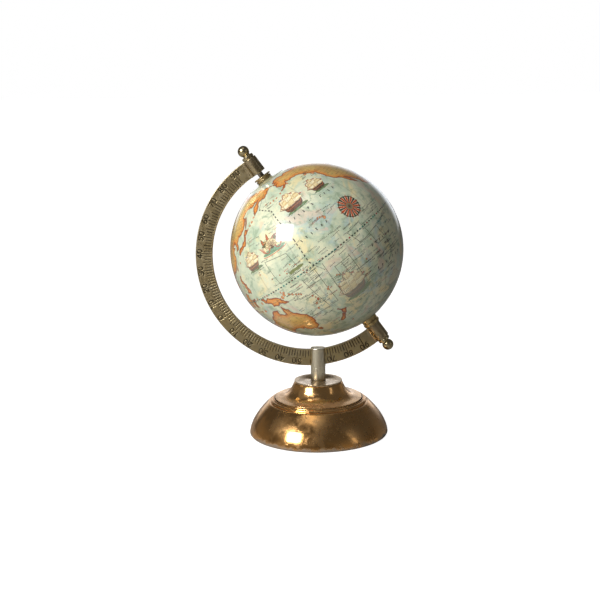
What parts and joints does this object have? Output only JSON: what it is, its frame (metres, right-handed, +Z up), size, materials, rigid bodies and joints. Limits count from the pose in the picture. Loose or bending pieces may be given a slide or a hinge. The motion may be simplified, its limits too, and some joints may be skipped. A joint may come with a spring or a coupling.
{
  "type": "desktop globe on stand",
  "caption": "Small desktop globe turning on a tilted rod, held by an engraved half-ring arc on a short post above a round stepped brass base.",
  "frame": {"origin": "middle of the felt's underside, on the upright axis of the base and post", "axes": "+Z up; the arc and the leaning rod lie in the XZ plane, with the arc towards -X and the north end of the rod up and towards -X; the front is -Y"},
  "size_m": [0.1525, 0.127, 0.2151],
  "materials": {
    "felt": "matte",
    "board": "matte",
    "base_brass": "polished",
    "plate_brass": "polished",
    "steel": "satin",
    "post_brass": "satin",
    "arc_brass": "satin",
    "barrel_brass": "satin",
    "rod_steel": "satin",
    "finial_brass": "polished",
    "ball_board": "matte",
    "bush_wood": "matte",
    "hub_brass": "satin",
    "cap_paper": "gloss",
    "map_paper": "gloss"
  },
  "bodies": {
    "stand": {"felt_pad": "felt", "foot_board": "board", "base_dome": "base_brass", "base_bell": "base_brass", "top_plate": "plate_brass", "tie_rod": "steel", "tie_washer": "steel", "tie_nut": "steel", "post_collar": "post_brass", "post_head": "post_brass", "meridian_arc": "arc_brass", "north_barrel": "barrel_brass", "south_barrel": "barrel_brass", "axle_rod": "rod_steel", "north_finial": "finial_brass", "south_finial": "finial_brass", "thrust_washer": "hub_brass"},
    "globe": {"north_half_ball": "ball_board", "south_half_ball": "ball_board", "equator_band": "ball_board", "north_bush": "bush_wood", "south_bush": "bush_wood", "north_hub": "hub_brass", "south_hub": "hub_brass", "north_cap": "cap_paper", "south_cap": "cap_paper", "map_gore_1": "map_paper", "map_gore_2": "map_paper", "map_gore_3": "map_paper", "map_gore_4": "map_paper", "map_gore_5": "map_paper", "map_gore_6": "map_paper", "map_gore_7": "map_paper", "map_gore_8": "map_paper", "map_gore_9": "map_paper", "map_gore_10": "map_paper", "map_gore_11": "map_paper", "map_gore_12": "map_paper"}
  },
  "joints": [
    {"name": "globe_spin", "type": "hinge", "parent": "stand", "child": "globe", "pos_m": [0, 0, 0.139], "axis": [-0.5878, 0, 0.809], "continuous": true}
  ]
}
